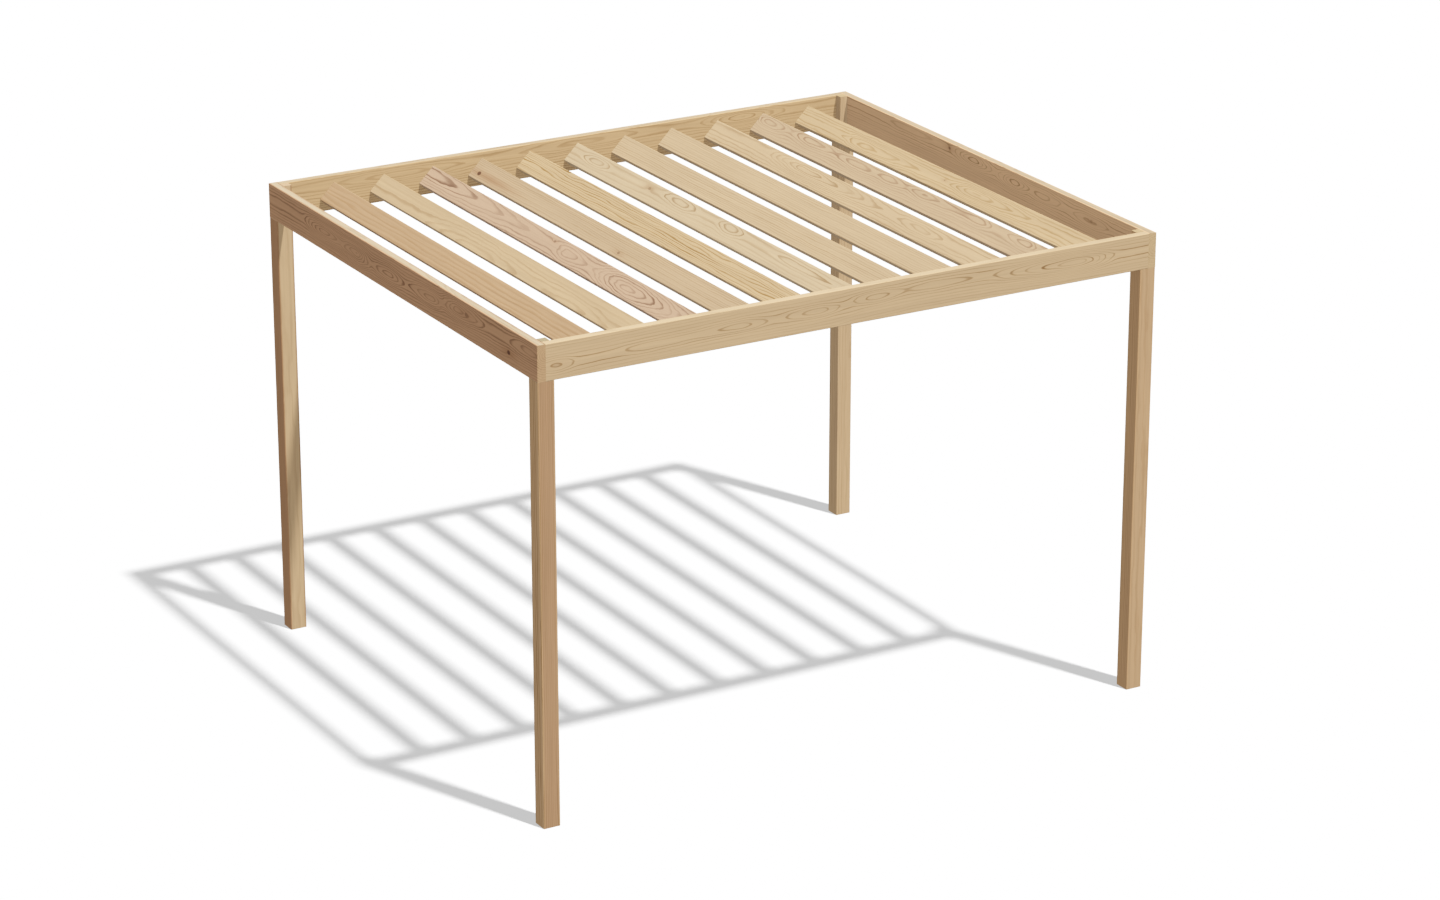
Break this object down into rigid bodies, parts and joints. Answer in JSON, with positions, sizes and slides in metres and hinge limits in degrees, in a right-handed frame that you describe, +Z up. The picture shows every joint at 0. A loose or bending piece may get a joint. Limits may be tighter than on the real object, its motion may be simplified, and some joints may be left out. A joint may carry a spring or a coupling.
{
  "type": "wooden pergola",
  "caption": "Free-standing timber pergola: square corner posts carry a flat beam frame filled with tilted louvre slats that run from front to back.",
  "frame": {"origin": "centre of the footprint, on the ground", "axes": "+X to the right along the front beam, +Y from front to back along the slats, +Z up"},
  "size_m": [3.52, 3, 2.485],
  "materials": {
    "post_timber": "planed, unvarnished",
    "beam_timber": "planed, unvarnished",
    "slat_timber": "planed, unvarnished"
  },
  "bodies": {
    "root": {"front_left_post": "post_timber", "front_right_post": "post_timber", "back_left_post": "post_timber", "back_right_post": "post_timber", "left_beam": "beam_timber", "right_beam": "beam_timber", "front_beam": "beam_timber", "back_beam": "beam_timber", "slat_01": "slat_timber", "slat_02": "slat_timber", "slat_03": "slat_timber", "slat_04": "slat_timber", "slat_05": "slat_timber", "slat_06": "slat_timber", "slat_07": "slat_timber", "slat_08": "slat_timber", "slat_09": "slat_timber", "slat_10": "slat_timber", "slat_11": "slat_timber"}
  },
  "joints": []
}
